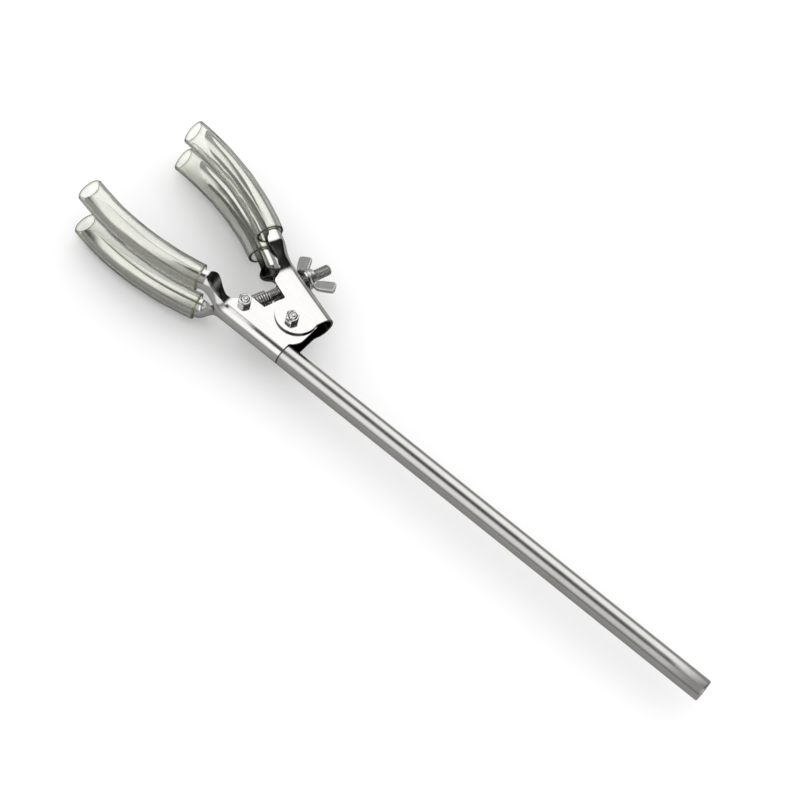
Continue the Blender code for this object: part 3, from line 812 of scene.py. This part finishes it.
def hexBlock(name, at, low, high, domedLow, domedHigh):
    block = prism(name, hexLine(hexagon["flats"]), low, high, Matrix.Translation(at))
    block.hide_render = False
    flat, far = hexagon["flats"] / 2 - 0.12 * mm, hexagon["flats"] / 2 + 1.2 * mm
    drop = (far - flat) * math.tan(math.radians(hexagon["corner"]))
    line = [(0.0, high + 0.01 * mm), (flat, high + 0.01 * mm), (far, high - drop)]
    if not domedHigh:
        line = [(0.0, high + 1 * mm), (far, high + 1 * mm)]
    under = [(far, low + drop), (flat, low - 0.01 * mm), (0.0, low - 0.01 * mm)]
    if not domedLow:
        under = [(far, low - 1 * mm), (0.0, low - 1 * mm)]
    cone = turned(name + "Cone", line + under, Matrix.Translation(at), 96)
    cut(block, cone, "INTERSECT")
    return block, cone


for name, at, face in (("pivot", pivot, 7.5 * mm), ("link", link, 6.0 * mm)):
    low = face + hexagon["gap"]
    high = low + hexagon["height"]
    block, cone = hexBlock(name + "HexNut", at, low, high, False, True)
    bore = turned(name + "Bore", [
        (0.0, low - 1 * mm), (hexagon["bore"], low - 1 * mm), (hexagon["bore"], high - 0.3 * mm),
        (hexagon["bore"] + 0.35 * mm, high + 0.05 * mm), (0.0, high + 0.05 * mm)],
        Matrix.Translation(at), 64)
    cut(block, bore)
    rounded(block, hexagon["edge"], 2, 32.0)
    settle(block, (cone, bore))
    finishPiece(block, boltSteel, "fixed_jaw", name + "_nut", 40.0)

    end = high + hexagon["proud"]
    head = -low
    bar = grown(name + "HexBolt", threads, {
        "Radius": hexagon["bolt"], "Depth": hexagon["depth"], "Pitch": hexagon["pitch"],
        "Length": end - 0.35 * mm - (low - 1.5 * mm), "Chamfer": 0.35 * mm, "Rows": 60, "Around": 49,
    }, Matrix.Translation(at + Vector((0, 0, low - 1.5 * mm))))
    plain = turned(name + "Plain", [
        (0.0, low - 0.8 * mm), (hexagon["bolt"] - 0.12 * mm, low - 0.8 * mm),
        (hexagon["bolt"], low - 0.95 * mm), (hexagon["bolt"], head - 0.4 * mm),
        (0.0, head - 0.4 * mm)], Matrix.Translation(at), 48)
    wide, tall = hexagon["dome"]
    crown = [(wide * math.sin(a), end - tall + tall * math.cos(a)) for a in spaced(0, math.pi / 2, 8)[1:]]
    crown += [(wide, end - 1.2 * mm), (0.0, end - 1.2 * mm)]
    dome = turned(name + "Dome", [(0.0, end)] + crown, Matrix.Translation(at), 48)
    block, cone = hexBlock(name + "Head", at, head - hexagon["head"], head, True, False)
    rounded(block, hexagon["edge"], 2, 32.0)
    settle(block, (cone,))
    for tool in (plain, dome, block):
        cut(bar, tool, "UNION")
    settle(bar, (plain, dome, block))
    finishPiece(bar, boltSteel, "fixed_jaw", name + "_bolt", 32.0)

floorLook = {"size": 6.0, "under": 0.3 * mm, "centre": -0.15, "rough": 0.9,
             "tone": (0.93, 0.93, 0.93), "mirrored": (0.30, 0.30, 0.29)}  # darker where it is mirrored
low = min(v[2] for v in cadBox)
half = floorLook["size"] / 2
floor = pieceOf("floor", meshFrom("floor", [
    (x * half + floorLook["centre"], y * half, low - floorLook["under"])
    for x, y in ((-1, -1), (1, -1), (1, 1), (-1, 1))], [(0, 1, 2, 3)]))
floorPaint, graph, shader = surface("floorPaint")
feed(graph, shader, "Base Color", graph.blend(graph.mirrored(), floorLook["tone"], floorLook["mirrored"]))
feed(graph, shader, "Roughness", floorLook["rough"])
feed(graph, shader, "Specular IOR Level", 0.1)
floor.data.materials.append(floorPaint)

# only reflections see this, by angle round the rod (degrees from +Y over +Z): two long softboxes with a
# dark gap straight above, which closes at two places along X; "ends" dims both boxes from -X to +X.
# Everything else sees a plain white dome
studio = {
    "gapped": [(0, 0.30), (7, 0.16), (14, 0.18), (21, 1.0), (66, 1.05), (78, 0.30), (86, 0.03), (105, 0.03),
               (113, 0.70), (122, 1.02), (150, 1.02), (161, 0.52), (172, 0.22), (186, 0.34), (215, 0.26),
               (250, 0.12), (360, 0.30)],
    "joined": [(0, 0.42), (14, 0.30), (34, 0.9), (60, 1.0), (160, 1.0), (176, 0.42), (215, 0.3), (250, 0.12),
               (360, 0.42)],
    "endsAbove": [(-1.0, 0.6), (-0.80, 0.5), (-0.68, 0.08), (-0.57, 0.08), (-0.48, 1.0), (-0.20, 1.0),
                  (0.04, 0.95), (0.15, 0.45), (0.28, 0.02), (0.90, 0.015), (1.0, 0.2)],
    "endsBelow": [(-1.0, 0.6), (-0.80, 0.5), (-0.68, 0.08), (-0.57, 0.08), (-0.48, 1.0), (-0.22, 1.0),
                  (-0.12, 0.72), (-0.04, 0.46), (0.20, 0.20), (0.34, 0.40), (0.50, 0.8), (1.0, 0.8)],
    "closing": ((-0.31, -0.38), (-0.04, 0.04)), "halfway": 95.0, "strength": 1.22, "dome": 1.2,
}
sky = bpy.data.worlds.new("studio")
scene.world = sky
sky.use_nodes = True
sky.cycles.sampling_method = "NONE"
graph = Graph(sky.node_tree)
sky.node_tree.nodes.clear()
toward = graph.add("ShaderNodeSeparateXYZ", {}, {0: graph.add("ShaderNodeTexCoord")["Generated"]})
turn = (toward["Z"].sum("ARCTAN2", toward["Y"]) / (2 * math.pi) + 1.0).sum("FRACT")
gapped, joined = (graph.add("ShaderNodeValToRGB", {"stops": [(a / 360, v) for a, v in studio[key]]},
                            {"Fac": turn})["Color"] for key in ("gapped", "joined"))
above, below = (graph.add("ShaderNodeValToRGB", {"stops": [((x + 1) / 2, v) for x, v in studio[key]]},
                          {"Fac": (toward["X"] + 1.0) * 0.5})["Color"] for key in ("endsAbove", "endsBelow"))
side = turn.sum("GREATER_THAN", studio["halfway"] / 360)
ends = above * (1 - side) + below * side
past, ahead = (((toward["X"] - first) / (last - first)).clamped() for first, last in studio["closing"])
closed = past.sum("MAXIMUM", ahead)
shine = (gapped * (1 - closed) + joined * closed) * ends * studio["strength"]
white = (1.0, 1.0, 1.0, 1.0)
lit = graph.add("ShaderNodeBackground", {}, {"Color": white, "Strength": shine})[0]
dome = graph.add("ShaderNodeBackground", {}, {"Color": white, "Strength": studio["dome"]})[0]
mixed = graph.add("ShaderNodeMixShader", {}, {0: graph.mirrored(), 1: dome, 2: lit})[0]
graph.add("ShaderNodeOutputWorld", {}, {0: mixed})

# a white card over the lower fingers, which only reflections see
card = {"x": (-0.50, -0.366), "y": (-0.15, 0.04), "z": 0.25, "bright": 1.15}
corners = [(card["x"][i], card["y"][j], card["z"]) for i, j in ((0, 0), (1, 0), (1, 1), (0, 1))]
fill = pieceOf("fillCard", meshFrom("fillCard", corners, [(0, 1, 2, 3)]))
paint, graph, shader = surface("cardPaint")
feed(graph, shader, "Base Color", (0.0, 0.0, 0.0, 1.0))
feed(graph, shader, "Emission Color", white)
feed(graph, shader, "Emission Strength", card["bright"])
fill.data.materials.append(paint)
fill.visible_camera = fill.visible_diffuse = fill.visible_shadow = False

lens = {"at": (0.0493, -0.5894, 1.0585), "right": (0.7655, 0.6205, 0.1704),
        "up": (-0.6089, 0.6130, 0.5034), "back": (0.2079, -0.4891, 0.8471),
        "length": 110.7, "sensor": 36.0, "clip": (0.01, 50.0)}
view = bpy.data.cameras.new("view")
view.lens, view.sensor_width = lens["length"], lens["sensor"]
view.clip_start, view.clip_end = lens["clip"]
camera = bpy.data.objects.new("view", view)
turnTo = Matrix((lens["right"], lens["up"], lens["back"])).transposed().to_4x4()
camera.matrix_world = Matrix.Translation(lens["at"]) @ turnTo
scene.collection.objects.link(camera)
scene.camera = camera
scene.view_settings.view_transform = "Standard"
print("light and camera ready")
